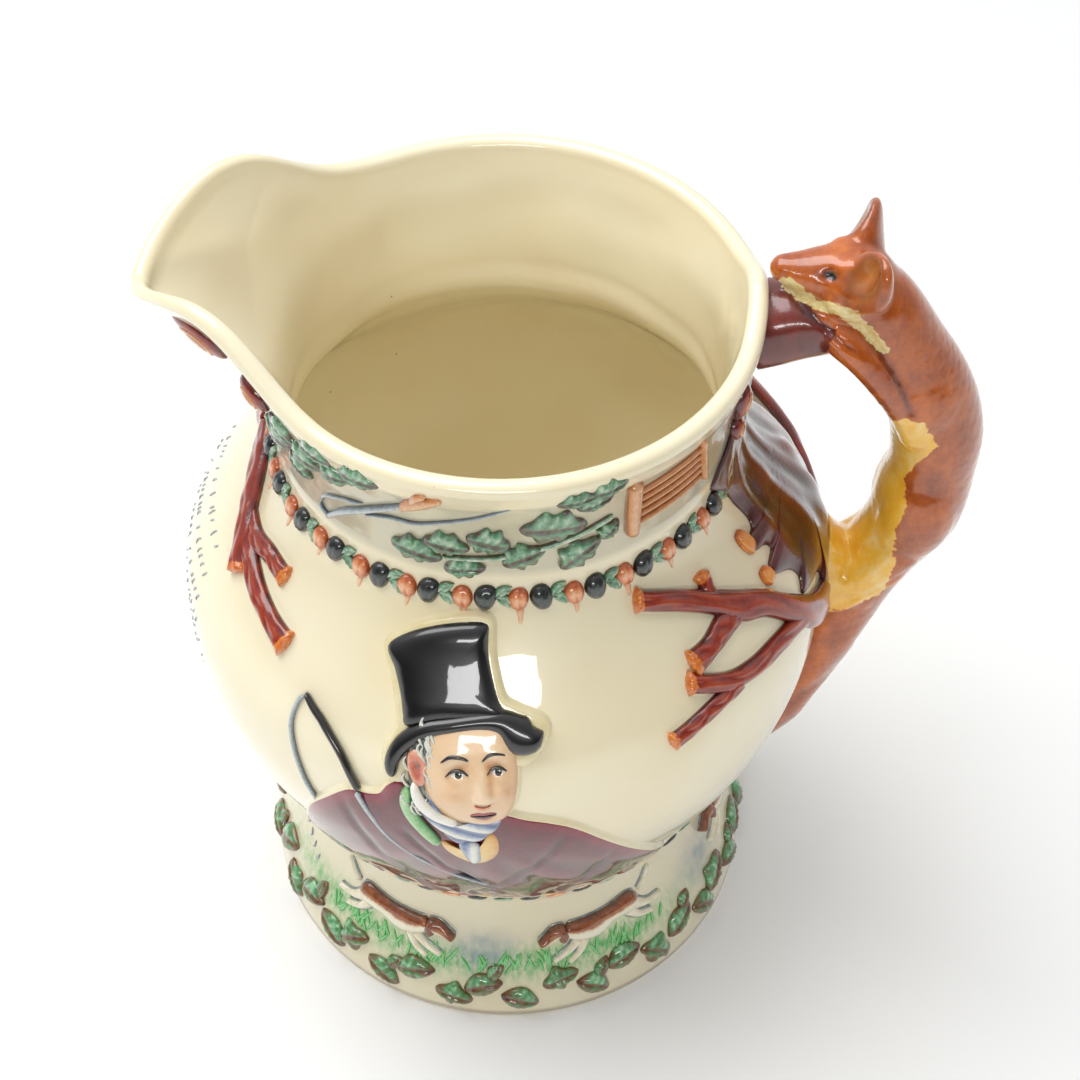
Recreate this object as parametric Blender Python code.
"""Moulded pottery jug with a fox for its handle and a musical movement in its hollow foot.

Frame: +Z up, origin on the table under the middle of the jug's whole length and depth, the spout towards
-X, the fox towards +X and the modelled bust facing -Y.  Everything is modelled about the jug's own turning
axis and then slid to that frame.  Lengths are in metres; angles round the wall are in degrees from +X, so
the spout is at 180 and the bust at -90.
"""
import math

import bmesh
import bpy
import numpy as np
from mathutils import Matrix, Vector

MM = 0.001

# Turned profile of the jug, outside
FOOT_RADIUS = 61.0 * MM
WAIST_RADIUS = 51.4 * MM
WAIST_HEIGHT = 39.0 * MM
BELLY_RADIUS = 71.8 * MM
BELLY_HEIGHT = 103.0 * MM
THROAT_RADIUS = 48.4 * MM
THROAT_HEIGHT = 154.0 * MM
RIM_RADIUS = 52.6 * MM
RIM_HEIGHT = 185.0 * MM
BELLY_RISE = 1.25
SHOULDER_START = 1.9
SHOULDER_FULLNESS = 3.4
NECK_FLARE = 1.95

# Pulled spout and the little lift of the rim at the handle
SPOUT_REACH = 21.0 * MM
SPOUT_SPREAD = 24.5
SPOUT_POINT = 1.6
SPOUT_ROOT = 1.7
LOBE_LIFT = 15.5 * MM
LOBE_ANGLE = 21.0
LOBE_WIDTH = 18.0
HANDLE_LIFT = 5.0 * MM
HANDLE_LIFT_WIDTH = 11.0

# Wall, lip, floor and hollow foot
WALL = 4.2 * MM
THROAT_WALL = 6.0 * MM
LIP_ROUND = 2.1 * MM
FLOOR_THICKNESS = 5.0 * MM
FLOOR_TOP = 49.0 * MM
FOOT_RING = 5.5 * MM
FOOT_BEVEL = 1.6 * MM

# Mesh fineness
AROUND = 40
CROWDING = 15.0
STEPS_FOOT = 4
STEPS_BELLY = 5
STEPS_SHOULDER = 5
STEPS_NECK = 4
STEPS_BORE = 3
STEPS_INSIDE = 5

# Relief
RELIEF_SINK = 1.4 * MM
STEM_SINK = 2.4 * MM
STEM_SIDES = 6
BARK_RISE = 1.2 * MM
BEAD_SIDES = 4
BEAD_REPEATS = 28
BEAD_RADIUS = 2.5 * MM
BEAD_RISE = 1.7 * MM
NECK_BAND_HEIGHT = 150.0 * MM
WAIST_BAND_HEIGHT = 47.0 * MM
WAIST_BAND_RISE = 1.3 * MM
WAIST_BAND_HALF = 2.6 * MM
LEAF_RISE = 1.2 * MM
IVY_REPEATS = 20
IVY_HEIGHT = 10.5 * MM
IVY_LENGTH = 10.0 * MM
IVY_WIDTH = 6.0 * MM
IVY_PARTING = 1.2 * MM
IVY_CORNERS = ((0, 0), (0.45, 0.5), (1, 0), (0.45, -0.5))
OAK_CORNERS = ((0, 0), (0.3, 0.5), (0.65, 0.42), (1, 0), (0.65, -0.42), (0.3, -0.5))
OAK_HEIGHT = 163.0 * MM
OAK_LENGTH = 8.8 * MM
OAK_WIDTH = 5.5 * MM
BRANCH_RADIUS = 2.4 * MM
COAT_RISE = 2.2 * MM
HAT_RISE = 3.6 * MM
HEAD_RISE = 4.2 * MM
HOUND_RISE = 1.8 * MM
WHIP_RADIUS = 0.9 * MM
REVERSE_LIMBS = ("spout_limb", "spout_fork", "handle_limb", "handle_fork")

# Fox handle
FOX_SIDES = 10
FOX_STEPS = 2
STUMP_RADIUS = 8.5 * MM
ROOT_RADIUS = 9.2 * MM
SKULL_KNOT = 3
EAR_SET_BACK = 0.17
EAR_SPREAD = 0.73
EAR_LENGTH = 15.0 * MM
EAR_RADIUS = 5.8 * MM
EAR_THICKNESS = 0.62
EAR_LEAN = 24.0
EAR_SWEEP = 8.0
ARM_RADIUS = 4.0 * MM

# Musical movement and its key, in the hollow foot
CLEARANCE = 0.3 * MM
MOVEMENT_LENGTH = 50.0 * MM
MOVEMENT_WIDTH = 42.0 * MM
MOVEMENT_HEIGHT = 20.0 * MM
MOVEMENT_CORNER = 4.0 * MM
MOVEMENT_SHIFT = 8.0 * MM
FLANGE_OVERHANG = 5.0 * MM
FLANGE_THICKNESS = 1.6 * MM
BOSS_RADIUS = 5.0 * MM
BOSS_HEIGHT = 1.4 * MM
KEY_STEM_RADIUS = 2.0 * MM
KEY_STEM_LENGTH = 5.5 * MM
KEY_SPAN = 22.0 * MM
KEY_DEPTH = 8.5 * MM
KEY_THICKNESS = 2.4 * MM
KEY_SEAT = 1.0 * MM


def mix(a, b, t):
    """Value a share t of the way from a to b."""
    return a + (b - a) * t


def smooth(points, steps):
    """Catmull-Rom curve through rows of numbers, with the given number of steps to each span."""
    rows = [np.array(p, float) for p in points]
    rows = [2 * rows[0] - rows[1]] + rows + [2 * rows[-1] - rows[-2]]
    out = []
    for a, b, c, d in zip(rows, rows[1:], rows[2:], rows[3:]):
        for k in range(steps):
            t = k / steps
            out.append(0.5 * (2 * b + (c - a) * t + (2 * a - 5 * b + 4 * c - d) * t * t
                              + (3 * b - a - 3 * c + d) * t ** 3))
    return out + [rows[-2]]


def angle_from(phi, centre):
    """Unsigned angle in degrees between two directions round the wall."""
    return abs((phi - centre + 180) % 360 - 180)


def spout_share(phi):
    """How much of the spout's reach the wall has at this angle, 1 at the pouring tip."""
    return math.exp(-(angle_from(phi, 180) / SPOUT_SPREAD) ** SPOUT_POINT)


def column_angle(k):
    """Angle of a column of the vessel's mesh; the columns crowd together towards the spout."""
    share = k / AROUND
    return 360 * share + CROWDING * math.sin(2 * math.pi * share)


def rim_height(phi):
    """Height of the lip: level, with a lobe on each side of the spout and a lift at the handle."""
    lobe = math.exp(-((angle_from(phi, 180) - LOBE_ANGLE) / LOBE_WIDTH) ** 2)
    lift = math.exp(-(angle_from(phi, 0) / HANDLE_LIFT_WIDTH) ** 2)
    return RIM_HEIGHT + LOBE_LIFT * lobe + HANDLE_LIFT * lift


def turned_radius(z):
    """Outside radius of the plain turned body below the throat."""
    if z < WAIST_HEIGHT:
        t = z / WAIST_HEIGHT
        radius = WAIST_RADIUS + (FOOT_RADIUS - WAIST_RADIUS) * (1 + math.cos(math.pi * t)) / 2
    elif z < BELLY_HEIGHT:
        t = (z - WAIST_HEIGHT) / (BELLY_HEIGHT - WAIST_HEIGHT)
        radius = mix(WAIST_RADIUS, BELLY_RADIUS, math.sin(math.pi * t / 2) ** BELLY_RISE)
    else:
        t = max((THROAT_HEIGHT - z) / (THROAT_HEIGHT - BELLY_HEIGHT), 0)
        radius = mix(THROAT_RADIUS, BELLY_RADIUS, 1 - (1 - t ** SHOULDER_START) ** SHOULDER_FULLNESS)
    band = max(1 - ((z - WAIST_BAND_HEIGHT) / WAIST_BAND_HALF) ** 2, 0)
    return radius + WAIST_BAND_RISE * math.sqrt(band)


def neck_radius(phi, t):
    """Outside radius a share t of the way from the throat to the lip, with the spout blended in."""
    plain = mix(THROAT_RADIUS, RIM_RADIUS, t ** NECK_FLARE)
    return plain + SPOUT_REACH * spout_share(phi) * t ** SPOUT_ROOT


def on_wall(phi, z):
    """Point of the outside wall at an angle and a height."""
    if z > THROAT_HEIGHT:
        radius = neck_radius(phi, (z - THROAT_HEIGHT) / (rim_height(phi) - THROAT_HEIGHT))
    else:
        radius = turned_radius(z)
    a = math.radians(phi)
    return Vector((radius * math.cos(a), radius * math.sin(a), z))


def over_wall(phi, z, rise):
    """Point standing off the outside wall along its normal."""
    across = on_wall(phi + 1, z) - on_wall(phi - 1, z)
    upward = on_wall(phi, z + MM) - on_wall(phi, z - MM)
    return on_wall(phi, z) + across.cross(upward).normalized() * rise


def millimetres(pairs):
    """Wall places typed as degrees and millimetres, as degrees and metres."""
    return [(phi, z * MM) for phi, z in pairs]


def material(name, colour, roughness, metallic=0.0):
    """Principled material from a linear colour."""
    made = bpy.data.materials.new(name)
    made.use_nodes = True
    shader = made.node_tree.nodes["Principled BSDF"]
    shader.inputs["Base Color"].default_value = (*colour, 1)
    shader.inputs["Roughness"].default_value = roughness
    shader.inputs["Metallic"].default_value = metallic
    return made


def keep(name, mesh, collection):
    """Object for a mesh, placed in a collection."""
    made = bpy.data.objects.new(name, mesh)
    collection.objects.link(made)
    return made


def mesh_from_rings(name, rings):
    """Closed surface through rings of points, each end closed by one face."""
    count = len(rings[0])
    shape = bmesh.new()
    rows = [[shape.verts.new(p) for p in ring] for ring in rings]
    for low, high in zip(rows, rows[1:]):
        for k in range(count):
            shape.faces.new((low[k], low[(k + 1) % count], high[(k + 1) % count], high[k]))
    shape.faces.new(list(reversed(rows[0])))
    shape.faces.new(rows[-1])
    bmesh.ops.recalc_face_normals(shape, faces=shape.faces)
    mesh = bpy.data.meshes.new(name)
    shape.to_mesh(mesh)
    shape.free()
    return mesh


def joined(name, meshes, collection):
    """One object of several meshes that stand clear of each other."""
    shape = bmesh.new()
    for mesh in meshes:
        shape.from_mesh(mesh)
        bpy.data.meshes.remove(mesh)
    mesh = bpy.data.meshes.new(name)
    shape.to_mesh(mesh)
    shape.free()
    return keep(name, mesh, collection)


def tube(name, places, radii, sides):
    """Mesh of a capped tube along points, from a bevelled curve with its own radius at each point."""
    curve = bpy.data.curves.new(name, "CURVE")
    curve.dimensions = "3D"
    curve.bevel_depth = 1.0
    curve.bevel_resolution = max(sides // 2 - 2, 0)
    curve.use_fill_caps = True
    spline = curve.splines.new("POLY")
    spline.points.add(len(places) - 1)
    for point, place, radius in zip(spline.points, places, radii):
        point.co = (*place, 1)
        point.radius = radius
    holder = bpy.data.objects.new(name, curve)
    bpy.context.scene.collection.objects.link(holder)
    bpy.context.view_layer.update()
    graph = bpy.context.evaluated_depsgraph_get()
    mesh = bpy.data.meshes.new_from_object(holder.evaluated_get(graph))
    bpy.data.objects.remove(holder)
    bpy.data.curves.remove(curve)
    shape = bmesh.new()
    shape.from_mesh(mesh)
    bmesh.ops.remove_doubles(shape, verts=shape.verts, dist=0.00001)
    bmesh.ops.recalc_face_normals(shape, faces=shape.faces)
    shape.to_mesh(mesh)
    shape.free()
    return mesh


def pad(name, outline, rise, top=0.72, middle_steps=()):
    """Low mound on the wall: a closed outline of angles and heights, raised towards its middle.

    A wide mound takes middle steps, shares of its outline at which its top and its underside
    follow the wall's curve.
    """
    middle = np.mean(outline, axis=0)

    def ring(share, lift):
        return [over_wall(*mix(middle, np.array(p), share), lift) for p in outline]

    rings = [ring(share, -RELIEF_SINK) for share in reversed(middle_steps)]
    rings += [ring(1.0, -RELIEF_SINK), ring(top, rise)]
    rings += [ring(share, rise * 1.1) for share in middle_steps]
    return mesh_from_rings(name, rings)


def round_outline(phi, z, half_width, half_height, sides, turn=0.0):
    """Ellipse on the wall, given by lengths and turned anticlockwise by an angle in degrees."""
    reach = on_wall(phi, z).xy.length
    out = []
    for k in range(sides):
        a = 2 * math.pi * k / sides
        across = half_width * math.cos(a)
        up = half_height * math.sin(a)
        c = math.cos(math.radians(turn))
        s = math.sin(math.radians(turn))
        out.append((phi + math.degrees((across * c - up * s) / reach), z + across * s + up * c))
    return out


def leaf_outline(phi, z, length, width, turn, corners):
    """Pointed leaf with its stalk at the given place; corners are shares of its length and width."""
    reach = on_wall(phi, z).xy.length
    c = math.cos(math.radians(turn))
    s = math.sin(math.radians(turn))
    out = []
    for along, side in corners:
        x = along * length
        y = side * width
        out.append((phi + math.degrees((x * c - y * s) / reach), z + x * s + y * c))
    return out


def ribbon(name, rows, rise, columns=6):
    """Long mound on the wall through rows of (angle, height, half width in degrees).

    Each row is a ring: a low arch above the wall from edge to edge, then back below the surface.
    """
    rings = []
    for phi, z, half in rows:
        shares = [2 * k / columns - 1 for k in range(columns + 1)]
        top = [over_wall(phi + half * c, z, rise * (1 - 0.75 * c ** 4)) for c in shares]
        under = [over_wall(phi + half * c, z, -RELIEF_SINK) for c in reversed(shares)]
        rings.append(top + under)
    return mesh_from_rings(name, rings)


def stem(name, places, thick, thin, sides=STEM_SIDES):
    """Branch lying half sunk on the wall, tapering from thick to thin."""
    count = len(places)
    radii = [mix(thick, thin, k / (count - 1)) for k in range(count)]
    points = [over_wall(phi, z, max(radius * 0.3, radius - STEM_SINK)) for (phi, z), radius in zip(places, radii)]
    return tube(name, points, radii, sides)


def section_rows():
    """Rows of (radius, height) round the wall's section for every angle, from axis to axis.

    The rows run out under the floor, down inside the foot, over the foot ring, up the outside,
    over the lip and down the inside to the middle of the floor.
    """
    under = FLOOR_TOP - FLOOR_THICKNESS
    foot_inner = FOOT_RADIUS - FOOT_RING
    rows = [lambda phi: (0.45 * WAIST_RADIUS, under)]
    rows.append(lambda phi: (WAIST_RADIUS - WALL - LIP_ROUND, under))
    for k in range(1, 4):
        z = mix(under, FOOT_BEVEL, k / 3)
        rows.append(lambda phi, z=z: (min(turned_radius(z) - WALL, foot_inner), z))
    rows.append(lambda phi: (foot_inner + FOOT_BEVEL * 0.6, 0.0))
    rows.append(lambda phi: (FOOT_RADIUS - FOOT_BEVEL, 0.0))
    heights = [mix(FOOT_BEVEL, WAIST_HEIGHT, (k / STEPS_FOOT) ** 1.2) for k in range(STEPS_FOOT)]
    heights += [WAIST_HEIGHT, WAIST_BAND_HEIGHT - WAIST_BAND_HALF]
    heights += [WAIST_BAND_HEIGHT - WAIST_BAND_HALF / 2, WAIST_BAND_HEIGHT + WAIST_BAND_HALF / 2]
    heights += [WAIST_BAND_HEIGHT + WAIST_BAND_HALF]
    start = heights[-1]
    heights += [mix(start, BELLY_HEIGHT, k / STEPS_BELLY) for k in range(1, STEPS_BELLY + 1)]
    heights += [mix(BELLY_HEIGHT, THROAT_HEIGHT, k / STEPS_SHOULDER) for k in range(1, STEPS_SHOULDER)]
    for z in heights:
        rows.append(lambda phi, z=z: (turned_radius(z), z))
    for k in range(STEPS_NECK):
        share = k / (STEPS_NECK - 1)

        def neck(phi, share=share):
            top = rim_height(phi) - LIP_ROUND
            return neck_radius(phi, share), mix(THROAT_HEIGHT, top, share)
        rows.append(neck)

    def lip(across, up):
        def place(phi):
            return neck_radius(phi, 1.0) - LIP_ROUND * across, rim_height(phi) - LIP_ROUND * (1 - up)
        return place
    rows += [lip(0.35, 0.75), lip(1.0, 1.0), lip(1.65, 0.75)]
    for k in range(STEPS_BORE):
        share = 1 - k / (STEPS_BORE - 1)

        def bore(phi, share=share):
            top = rim_height(phi) - LIP_ROUND
            wall = mix(THROAT_WALL * 0.45, WALL, share ** 0.5)
            return neck_radius(phi, share) - wall, mix(THROAT_HEIGHT, top, share)
        rows.append(bore)
    throat_edge = THROAT_HEIGHT - 2.0 * THROAT_WALL
    rows.append(lambda phi: (THROAT_RADIUS - THROAT_WALL * 0.1, throat_edge))
    for k in range(1, STEPS_INSIDE + 1):
        z = mix(throat_edge, FLOOR_TOP + WALL, k / STEPS_INSIDE)
        rows.append(lambda phi, z=z: (turned_radius(z) - WALL, z))
    rows.append(lambda phi: (turned_radius(FLOOR_TOP) - 2.2 * WALL, FLOOR_TOP))
    rows.append(lambda phi: (0.45 * WAIST_RADIUS, FLOOR_TOP))
    return rows


def make_vessel(collection):
    """Hollow jug body: a loft through the section rows, which differ from angle to angle at the spout."""
    shape = bmesh.new()
    rings = []
    for row in section_rows():
        ring = []
        for k in range(AROUND):
            phi = column_angle(k)
            radius, z = row(phi)
            a = math.radians(phi)
            ring.append(shape.verts.new((radius * math.cos(a), radius * math.sin(a), z)))
        rings.append(ring)
    for low, high in zip(rings, rings[1:]):
        for k in range(AROUND):
            shape.faces.new((low[k], low[(k + 1) % AROUND], high[(k + 1) % AROUND], high[k]))
    for ring in (rings[0], rings[-1]):
        pole = shape.verts.new((0, 0, ring[0].co.z))
        for k in range(AROUND):
            shape.faces.new((ring[k], ring[(k + 1) % AROUND], pole))
    bmesh.ops.recalc_face_normals(shape, faces=shape.faces)
    mesh = bpy.data.meshes.new("jug")
    shape.to_mesh(mesh)
    shape.free()
    return keep("jug", mesh, collection)


def fox_line():
    """Points and radii of the fox in the handle's plane, from the nose round the back to the tail's tip."""
    knots = [
        (55.0, 192.6, 2.7), (59.1, 191.2, 4.3), (63.8, 190.9, 6.0), (68.5, 189.6, 7.6), (74.9, 182.5, 8.5),
        (81.0, 171.7, 9.3), (86.3, 162.8, 9.7), (89.9, 155.0, 9.7), (91.8, 147.0, 9.8), (92.3, 138.5, 10.1),
        (91.6, 130.6, 10.6), (90.6, 123.0, 10.0), (88.2, 116.5, 9.1), (85.1, 109.8, 8.6), (82.2, 102.8, 8.4),
        (79.8, 95.5, 8.3), (77.4, 86.6, 8.2), (74.4, 77.0, 8.1), (71.5, 66.2, 7.3), (68.9, 54.6, 6.2),
        (65.4, 45.0, 5.0), (61.2, 38.3, 3.9), (57.0, 33.8, 2.9), (53.2, 30.5, 2.0),
    ]
    rows = smooth(knots, FOX_STEPS)
    return [Vector((x * MM, 0, z * MM)) for x, z, r in rows], [r * MM for x, z, r in rows]


def make_fox(collection):
    """Body, head, ears, arms and the two roots of the fox, as overlapping forms to be fused."""
    line, radii = fox_line()
    skull = line[SKULL_KNOT * FOX_STEPS]
    skull_radius = radii[SKULL_KNOT * FOX_STEPS]
    keep("fox_body", tube("fox_body", line, radii, FOX_SIDES), collection)
    stump = [(50.3, 178), (54, 178.4), (60, 180), (77, 180)]
    flare = [STUMP_RADIUS * 1.15, STUMP_RADIUS * 1.06, STUMP_RADIUS, STUMP_RADIUS * 0.9]
    route = [Vector((x, 0, z)) * MM for x, z in stump]
    keep("fox_stump", tube("fox_stump", route, flare, 10), collection)
    root = [(67, 107.5), (71, 105), (77, 101), (83, 99.5)]
    flare = [ROOT_RADIUS * 1.25, ROOT_RADIUS * 1.08, ROOT_RADIUS, ROOT_RADIUS * 0.95]
    route = [Vector((x, 0, z)) * MM for x, z in root]
    keep("fox_root", tube("fox_root", route, flare, 10), collection)
    for side in (-1, 1):
        ear = bmesh.new()
        bmesh.ops.create_cone(ear, cap_ends=True, segments=8, radius1=EAR_RADIUS, radius2=EAR_RADIUS * 0.22,
                              depth=EAR_LENGTH)
        flatten = Matrix.Diagonal((1, EAR_THICKNESS, 1, 1))
        lean = Matrix.Rotation(math.radians(-side * EAR_LEAN), 4, "X") @ Matrix.Rotation(math.radians(EAR_SWEEP), 4, "Y")
        seat = skull + Vector((EAR_SET_BACK, side * EAR_SPREAD, 0)) * skull_radius
        stand = Matrix.Translation((0, 0, EAR_LENGTH / 2))
        bmesh.ops.transform(ear, matrix=Matrix.Translation(seat) @ lean @ stand @ flatten, verts=ear.verts)
        mesh = bpy.data.meshes.new("fox_ear")
        ear.to_mesh(mesh)
        ear.free()
        keep(f"fox_ear_{side}", mesh, collection)
        arm = [(84, 6.0, 164), (79, 7.4, 167), (73, 8.0, 173), (67, 7.2, 179)]
        places = [Vector((x, side * y, z)) * MM for x, y, z in arm]
        keep(f"fox_arm_{side}", tube("fox_arm", places, [ARM_RADIUS] * len(places), 8), collection)


def make_bust(collection):
    """Half figure in a top hat, in low relief on the belly's front."""
    coat = millimetres([(-119, 101), (-108, 107), (-98, 104), (-88, 103), (-79, 100), (-71, 92), (-62, 76),
                        (-55, 60), (-60, 53), (-76, 51), (-92, 51), (-110, 51), (-128, 53), (-134, 66), (-127, 88)])
    keep("coat", pad("coat", coat, COAT_RISE, 0.93, (0.66, 0.33)), collection)
    head = round_outline(-96, 112.5 * MM, 11.5 * MM, 12.5 * MM, 12, 8)
    keep("head", pad("head", head, HEAD_RISE, 0.85, (0.5,)), collection)
    crown = millimetres([(-110.5, 137), (-105, 141.5), (-98, 143.5), (-91, 143.5), (-91, 136), (-90, 129),
                         (-88, 123.5), (-97, 121.5), (-107, 121.5), (-108.5, 130)])
    keep("hat_crown", pad("hat_crown", crown, HAT_RISE, 0.86), collection)
    brim = millimetres([(-109, 117), (-107, 123), (-98, 126), (-88, 128), (-82, 128.5), (-81.5, 125),
                        (-86, 121.5), (-97, 120), (-105, 118.5)])
    keep("hat_brim", pad("hat_brim", brim, HAT_RISE * 1.15), collection)
    whip = smooth(millimetres([(-127, 123.5), (-122, 118), (-116.5, 108), (-112, 97)]), 1)
    keep("whip", stem("whip", whip, WHIP_RADIUS, WHIP_RADIUS), collection)


def make_branches(collection):
    """Bare branches below the spout and beside the handle, with short cut ends."""
    r = BRANCH_RADIUS
    limbs = {
        "spout_limb": ([(-174, 152), (-167, 144), (-161, 139), (-155, 130)], 1.5 * r, 0.8 * r),
        "spout_fork": ([(-161, 139), (-152, 139), (-142, 140.5)], r, 0.6 * r),
        "spout_twig": ([(-159, 137.5), (-150, 133), (-142, 130.5), (-135, 129.5)], r, 0.8 * r),
        "handle_limb": ([(-14, 111), (-24, 122), (-35, 130.5), (-47, 138), (-60, 144)], 1.5 * r, 0.7 * r),
        "handle_fork": ([(-36, 131), (-39.5, 136), (-39, 141)], r, 0.7 * r),
        "handle_twig": ([(-38, 133.5), (-44, 134), (-51, 132)], r, 0.8 * r),
        "lower_limb": ([(-20, 117), (-30, 121), (-42, 121), (-56, 127)], 1.2 * r, 0.7 * r),
        "lower_twig": ([(-44, 121), (-53, 121), (-62, 118.5)], r, 0.7 * r),
    }
    for name, (places, thick, thin) in limbs.items():
        route = millimetres(places)
        keep(name, stem(name, route, thick, thin), collection)
        if name in REVERSE_LIMBS:
            route = [(-phi, z) for phi, z in route]
            keep(f"{name}_reverse", stem(name, route, thick, thin), collection)
    bark = [(6.0, 107), (12.0, 112), (17.0, 120), (19.5, 128), (21.5, 136), (22.5, 143), (21.5, 149), (18.0, 155),
            (14.0, 162), (12.0, 171), (11.0, 181)]
    rows = [(0, z, half) for half, z in millimetres(bark)]
    keep("bark", ribbon("bark", rows, BARK_RISE), collection)


def make_bands(collection):
    """Bead band under the neck and leaf garland round the foot."""
    beads = []
    for k in range(2 * BEAD_REPEATS):
        phi = 180.0 * k / BEAD_REPEATS - 93
        outline = round_outline(phi, NECK_BAND_HEIGHT, BEAD_RADIUS * 0.9, BEAD_RADIUS, BEAD_SIDES)
        beads.append(pad("bead", outline, BEAD_RISE))
    joined("neck_beads", beads, collection)
    leaves = []
    for k in range(IVY_REPEATS):
        phi = 360.0 * k / IVY_REPEATS
        reach = math.degrees(IVY_LENGTH / FOOT_RADIUS) * 0.55
        for turn in (38, -38):
            stalk = IVY_HEIGHT + math.copysign(IVY_PARTING, turn)
            outline = leaf_outline(phi - reach, stalk, IVY_LENGTH, IVY_WIDTH, turn, IVY_CORNERS)
            leaves.append(pad("ivy", outline, LEAF_RISE))
    joined("garland", leaves, collection)


def make_neck_leaves(collection):
    """Oak sprays round the neck."""
    leaves = []
    for centre in (-88, -135, 88, 135):
        for k in range(4):
            phi = centre + (k - 2) * 9
            turn = 18 if k % 2 else -22
            outline = leaf_outline(phi, OAK_HEIGHT, OAK_LENGTH, OAK_WIDTH, turn, OAK_CORNERS)
            leaves.append(pad("oak", outline, LEAF_RISE))
    joined("oak_sprays", leaves, collection)


def make_hounds(collection):
    """Running hounds round the foot, each a long body with head and legs as one low outline."""
    shape = [(-15, 1), (-13, 4), (-9, 3.6), (-2, 4.4), (6, 3.8), (9, 6.6), (14, 5.4), (14.5, 3.4), (10, 1),
             (13, -4), (9, -3.5), (6, -0.8), (-3, -1), (-9, -0.4), (-13, -4.5), (-11, -0.6)]
    hounds = []
    for k in range(6):
        phi = -90 + 60 * k + 24
        z = 23 * MM
        reach = on_wall(phi, z).xy.length
        outline = [(phi + math.degrees(x * MM / reach), z + y * MM) for x, y in shape]
        hounds.append(pad("hound", outline, HOUND_RISE))
    joined("hounds", hounds, collection)


def fuse(base, relief):
    """Unite the vessel with every form of the relief."""
    union = base.modifiers.new("one_casting", "BOOLEAN")
    union.operation = "UNION"
    union.solver = "EXACT"
    union.operand_type = "COLLECTION"
    union.collection = relief
    union.use_self = True


def make_movement(collection, cutters):
    """Cased musical movement against the underside of the floor, with a boss round the winding arbor."""
    top = FLOOR_TOP - FLOOR_THICKNESS - CLEARANCE
    shape = bmesh.new()
    size = (MOVEMENT_LENGTH, MOVEMENT_WIDTH, MOVEMENT_HEIGHT)
    bmesh.ops.create_cube(shape, size=1, matrix=Matrix.Diagonal((*size, 1)))
    uprights = [e for e in shape.edges if abs(e.verts[0].co.z - e.verts[1].co.z) > MM]
    bmesh.ops.bevel(shape, geom=uprights, offset=MOVEMENT_CORNER, segments=3, affect="EDGES", profile=0.5)
    bmesh.ops.translate(shape, verts=shape.verts, vec=(MOVEMENT_SHIFT, 0, top - MOVEMENT_HEIGHT / 2))
    mesh = bpy.data.meshes.new("music_movement")
    shape.to_mesh(mesh)
    shape.free()
    movement = keep("music_movement", mesh, collection)
    flange = bmesh.new()
    size = (MOVEMENT_LENGTH + 2 * FLANGE_OVERHANG, MOVEMENT_WIDTH * 0.5, FLANGE_THICKNESS)
    bmesh.ops.create_cube(flange, size=1, matrix=Matrix.Diagonal((*size, 1)))
    bmesh.ops.translate(flange, verts=flange.verts, vec=(MOVEMENT_SHIFT, 0, top - FLANGE_THICKNESS / 2))
    mesh = bpy.data.meshes.new("flange")
    flange.to_mesh(mesh)
    flange.free()
    keep("flange", mesh, cutters)
    boss = bmesh.new()
    bmesh.ops.create_cone(boss, cap_ends=True, segments=24, radius1=BOSS_RADIUS, radius2=BOSS_RADIUS,
                          depth=2 * BOSS_HEIGHT)
    bmesh.ops.translate(boss, verts=boss.verts, vec=(0, 0, top - MOVEMENT_HEIGHT))
    mesh = bpy.data.meshes.new("boss")
    boss.to_mesh(mesh)
    boss.free()
    keep("boss", mesh, cutters)
    fuse(movement, cutters)
    return top - MOVEMENT_HEIGHT - BOSS_HEIGHT


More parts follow.
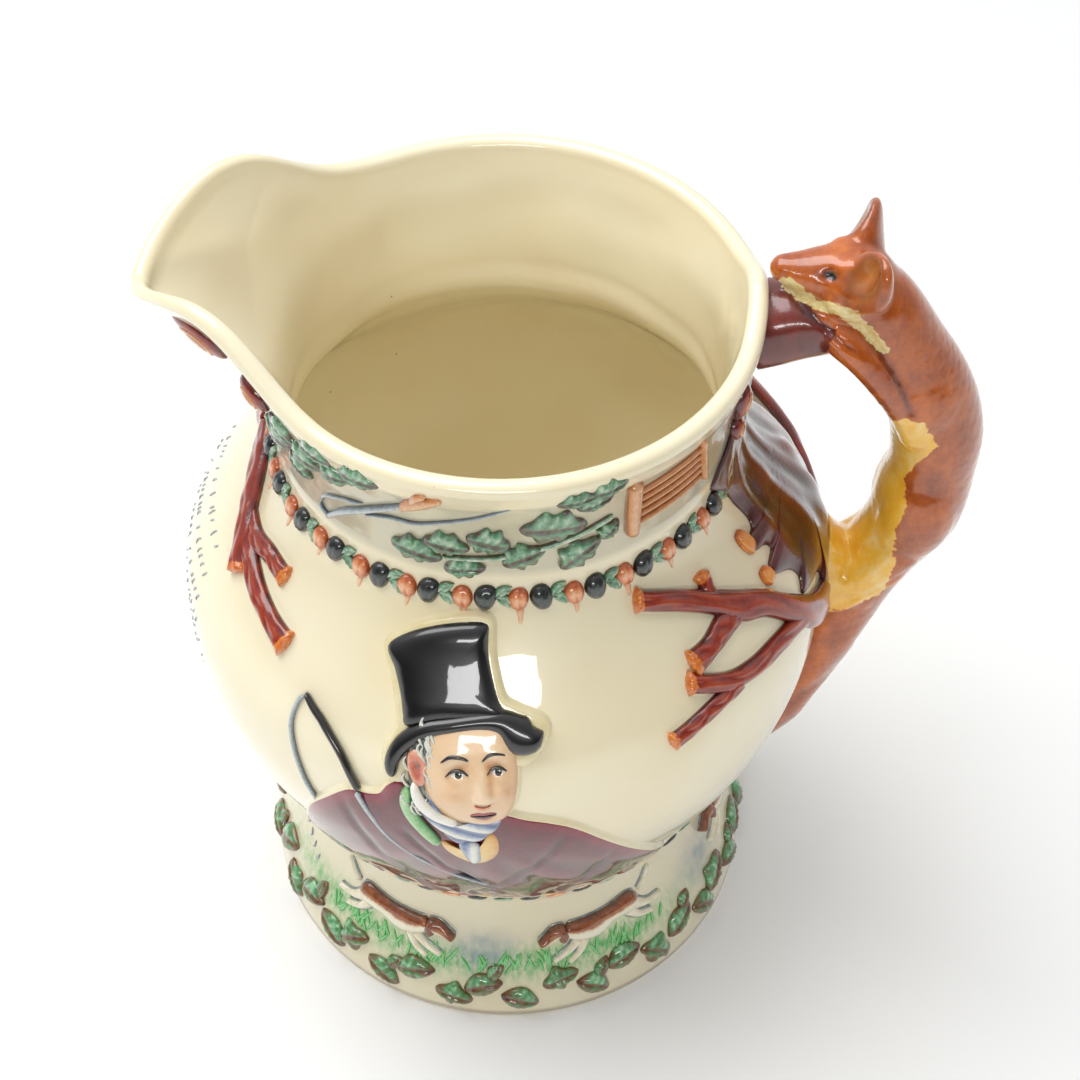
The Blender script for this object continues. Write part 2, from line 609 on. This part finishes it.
def make_key(collection, cutters, boss_face):
    """Winding key: a short stem below the boss and a flat two-winged bow."""
    top = boss_face - CLEARANCE
    stem_mesh = bmesh.new()
    bmesh.ops.create_cone(stem_mesh, cap_ends=True, segments=16, radius1=KEY_STEM_RADIUS, radius2=KEY_STEM_RADIUS,
                          depth=KEY_STEM_LENGTH)
    bmesh.ops.translate(stem_mesh, verts=stem_mesh.verts, vec=(0, 0, -KEY_STEM_LENGTH / 2))
    mesh = bpy.data.meshes.new("winding_key")
    stem_mesh.to_mesh(mesh)
    stem_mesh.free()
    key = keep("winding_key", mesh, collection)
    key.location = (0, 0, top)
    outline = bpy.data.curves.new("bow", "CURVE")
    outline.dimensions = "2D"
    outline.fill_mode = "BOTH"
    outline.extrude = KEY_THICKNESS / 2
    spline = outline.splines.new("POLY")
    wing = KEY_SPAN / 4
    points = []
    for side in (1, -1):
        for k in range(9):
            a = math.radians(-120 + 30 * k)
            points.append((side * (wing + wing * math.cos(a)), side * KEY_DEPTH / 2 * math.sin(a)))
    spline.points.add(len(points) - 1)
    for point, (x, y) in zip(spline.points, points):
        point.co = (x, y, 0, 1)
    spline.use_cyclic_u = True
    holder = bpy.data.objects.new("bow", outline)
    bpy.context.scene.collection.objects.link(holder)
    bpy.context.view_layer.update()
    graph = bpy.context.evaluated_depsgraph_get()
    mesh = bpy.data.meshes.new_from_object(holder.evaluated_get(graph))
    bpy.data.objects.remove(holder)
    shape = bmesh.new()
    shape.from_mesh(mesh)
    bmesh.ops.remove_doubles(shape, verts=shape.verts, dist=0.00001)
    upright = Matrix.Rotation(math.radians(90), 4, "X")
    drop = Matrix.Translation((0, 0, top - KEY_STEM_LENGTH - KEY_DEPTH / 2 + KEY_SEAT))
    bmesh.ops.transform(shape, matrix=drop @ upright, verts=shape.verts)
    bmesh.ops.recalc_face_normals(shape, faces=shape.faces)
    shape.to_mesh(mesh)
    shape.free()
    keep("key_bow", mesh, cutters)
    fuse(key, cutters)
    return key


def new_collection(name):
    """Collection linked to the scene."""
    made = bpy.data.collections.new(name)
    bpy.context.scene.collection.children.link(made)
    return made


def main():
    """Model the jug, its movement and its key, and slide them to the shared frame.

    The slide halves what sticks out: spout against fox along X, and the bust's head along Y.
    """
    for old in list(bpy.data.objects):
        bpy.data.objects.remove(old)
    parts = new_collection("porcelain_jug_with_music_box")
    relief = new_collection("jug_relief")
    movement_forms = new_collection("movement_forms")
    key_forms = new_collection("key_forms")

    jug = make_vessel(parts)
    make_fox(relief)
    make_bust(relief)
    make_branches(relief)
    make_bands(relief)
    make_neck_leaves(relief)
    make_hounds(relief)
    fuse(jug, relief)
    boss_face = make_movement(parts, movement_forms)
    key = make_key(parts, key_forms, boss_face)

    jug.data.materials.append(material("cream_glazed_earthenware", (0.88, 0.82, 0.62), 0.12))
    movement = bpy.data.objects["music_movement"]
    movement.data.materials.append(material("nickel_plated_case", (0.55, 0.55, 0.52), 0.35, 1.0))
    key.data.materials.append(material("brass", (0.72, 0.5, 0.2), 0.3, 1.0))

    spine, thickness = fox_line()
    back = max(point.x + radius for point, radius in zip(spine, thickness))
    for form in bpy.data.objects:
        form.location.x += (RIM_RADIUS + SPOUT_REACH - back) / 2
        form.location.y += HEAD_RISE / 2
    for collection in (relief, movement_forms, key_forms):
        for form in collection.objects:
            form.hide_render = True
            form.display_type = "WIRE"
    for part in parts.objects:
        part.data.shade_smooth()
        part.data.set_sharp_from_angle(angle=math.radians(40))


main()
